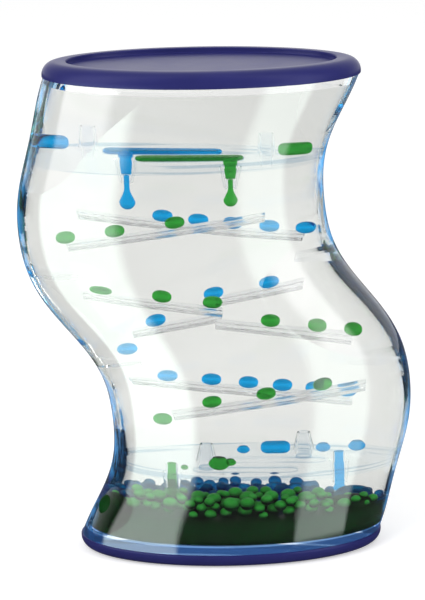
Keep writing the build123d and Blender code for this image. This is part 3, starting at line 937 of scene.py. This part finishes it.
class TIMER_OT_stage(bpy.types.Operator):
    """Pale floor, studio light and the camera"""
    bl_idname = "timer.stage"
    bl_label = "Floor, light and camera"

    def execute(self, context):
        scene = context.scene
        stage = scene.timer_stage
        self.floor(stage)
        self.sky(scene, stage)
        middle_of_body = (0, 0, 0.07)
        lamp("key", (-0.45, -0.45, 0.55), middle_of_body, 0.35, 0.55, stage.key)
        lamp("side", (0.50, -0.35, 0.30), middle_of_body, 0.25, 0.40, stage.side)
        self.camera(scene)
        scene.view_settings.view_transform = "Standard"
        scene.cycles.max_bounces = 40
        scene.cycles.transmission_bounces = 40
        scene.cycles.glossy_bounces = 16
        return {"FINISHED"}

    def floor(self, stage):
        count, half = 40, 1.2
        points, faces = [], []
        for row in range(count + 1):
            for column in range(count + 1):
                x, y = half * (2 * column / count - 1), half * (2 * row / count - 1)
                points.append((x, y, 0))
        for row in range(count):
            for column in range(count):
                corner = row * (count + 1) + column
                faces.append((corner, corner + 1, corner + count + 2, corner + count + 1))
        mesh = bpy.data.meshes.new("floor")
        mesh.from_pydata(points, [], faces)
        mesh.materials.append(self.paper(stage))
        floor = bpy.data.objects.new("floor", mesh)
        bpy.context.scene.collection.objects.link(floor)

    def paper(self, stage):
        """Pale floor that the camera sees nearly white and that mirrors see dark but for its cards."""
        material = bpy.data.materials.new("floor_paper")
        material.use_nodes = True
        tree = material.node_tree
        shader = tree.nodes["Principled BSDF"]
        shader.inputs["Roughness"].default_value = 0.9
        shader.inputs["Specular IOR Level"].default_value = 0.0
        rays = tree.nodes.new("ShaderNodeLightPath").outputs
        place = object_place(tree)["Object"]
        pale, dark, white, greenish = (0.80,) * 3, (0.12,) * 3, (1, 1, 1), (0.85, 1.0, 0.91)
        mirrored = mirror_share(tree, rays)
        tree.links.new(mixed_colour(tree, mirrored, pale, dark), shader.inputs["Base Color"])
        light_colour = mixed_colour(tree, mirrored, white, greenish)
        tree.links.new(light_colour, shader.inputs["Emission Color"])
        nearer = 1.5 * stage.cards
        cards = (((-27, -11), -76, (-11, -16), -23, nearer), ((20, -17), 25, (33, -12), 54, stage.cards))
        light = self.clear_of_base(tree, place, card_light(tree, place, cards))
        brightness = 0.37
        glow = math_socket(tree, "MULTIPLY", seen_share(tree, rays), brightness)
        total = math_socket(tree, "MULTIPLY_ADD", light, mirrored, glow)
        tree.links.new(total, shader.inputs["Emission Strength"])
        return material

    def clear_of_base(self, tree, place, light):
        """Socket with the cards' light on the floor, which starts a little way from the base."""
        scaled = tree.nodes.new("ShaderNodeVectorMath")
        far = tree.nodes.new("ShaderNodeVectorMath")
        scaled.operation, far.operation = "MULTIPLY", "LENGTH"
        half_length, half_depth = 52 * MM, 29 * MM
        scaled.inputs[1].default_value = (1 / half_length, 1 / half_depth, 0.0)
        tree.links.new(place, scaled.inputs[0])
        tree.links.new(scaled.outputs[0], far.inputs[0])
        return math_socket(tree, "MULTIPLY", ranged(tree, far.outputs["Value"], 1.0, 1.2), light)

    def sky(self, scene, stage):
        """Even light, white behind the object, and for mirrors a dark front with two cards."""
        world = bpy.data.worlds.new("studio")
        world.use_nodes = True
        tree = world.node_tree
        background = tree.nodes["Background"]
        background.inputs["Color"].default_value = (1, 1, 1, 1)
        rays = tree.nodes.new("ShaderNodeLightPath").outputs
        level = ranged(tree, seen_share(tree, rays), 0.0, 1.0, False, stage.sky, 1.0)
        direction = object_place(tree)["Generated"]
        backdrop = ranged(tree, parts_of(tree, direction)["Y"], -0.2, 0.4, False, 0.12, 1.5)
        cards = (((0, 0), -72, (0, 0), -33, stage.cards), ((0, 0), 34, (0, 0), 55, stage.cards))
        mirrored = math_socket(tree, "ADD", card_light(tree, direction, cards), backdrop)
        choice = tree.nodes.new("ShaderNodeMix")
        choice.data_type = "RGBA"
        tree.links.new(mirror_share(tree, rays), choice.inputs["Factor"])
        tree.links.new(level, choice.inputs["A"])
        tree.links.new(mirrored, choice.inputs["B"])
        tree.links.new(choice.outputs["Result"], background.inputs["Strength"])
        scene.world = world

    def camera(self, scene):
        """Camera at the photograph's angle: its place, pan, tilt, roll and view angle."""
        place = (-0.02447, -0.59456, 0.26309)
        pan, tilt, roll = -0.0391, 0.3094, -0.0095
        data = bpy.data.cameras.new("camera")
        data.sensor_fit = "AUTO"
        data.sensor_width = 36.0
        data.lens = 134.93
        data.clip_start, data.clip_end = 0.05, 10
        camera = bpy.data.objects.new("camera", data)
        ahead = Vector((-sin(pan) * cos(tilt), cos(pan) * cos(tilt), -sin(tilt)))
        right = Vector((cos(pan), sin(pan), 0))
        up = right.cross(ahead)
        rolled_right = right * cos(roll) + up * sin(roll)
        rolled_up = up * cos(roll) - right * sin(roll)
        turn = Matrix((rolled_right, rolled_up, -ahead)).transposed()
        camera.matrix_world = Matrix.Translation(place) @ turn.to_4x4()
        scene.collection.objects.link(camera)
        scene.camera = camera


STEPS = (TIMER_OT_housing, TIMER_OT_caps, TIMER_OT_fittings, TIMER_OT_drops, TIMER_OT_pools,
         TIMER_OT_settled, TIMER_OT_stage)


class TIMER_PT_panel(bpy.types.Panel):
    """Lists the sizes, colours and steps of the timer"""
    bl_idname = "TIMER_PT_panel"
    bl_label = "Liquid motion timer"
    bl_space_type = "VIEW_3D"
    bl_region_type = "UI"
    bl_category = "Timer"

    def draw(self, context):
        scene = context.scene
        for group in (scene.timer_sizes, scene.timer_colours, scene.timer_stage):
            box = self.layout.box()
            for name in group.bl_rna.properties.keys():
                if name not in ("rna_type", "name"):
                    box.prop(group, name)
        for step in STEPS:
            self.layout.operator(step.bl_idname)


CLASSES = (TimerSizes, TimerColours, TimerStage) + STEPS + (TIMER_PT_panel,)


def register():
    for item in CLASSES:
        bpy.utils.register_class(item)
    bpy.types.Scene.timer_sizes = PointerProperty(type=TimerSizes)
    bpy.types.Scene.timer_colours = PointerProperty(type=TimerColours)
    bpy.types.Scene.timer_stage = PointerProperty(type=TimerStage)


def unregister():
    del bpy.types.Scene.timer_stage
    del bpy.types.Scene.timer_colours
    del bpy.types.Scene.timer_sizes
    for item in reversed(CLASSES):
        bpy.utils.unregister_class(item)


def main():
    register()
    bpy.ops.timer.housing()
    bpy.ops.timer.caps()
    bpy.ops.timer.fittings()
    bpy.ops.timer.drops()
    bpy.ops.timer.pools()
    bpy.ops.timer.settled()
    bpy.ops.timer.stage()


if __name__ == "__main__":
    main()
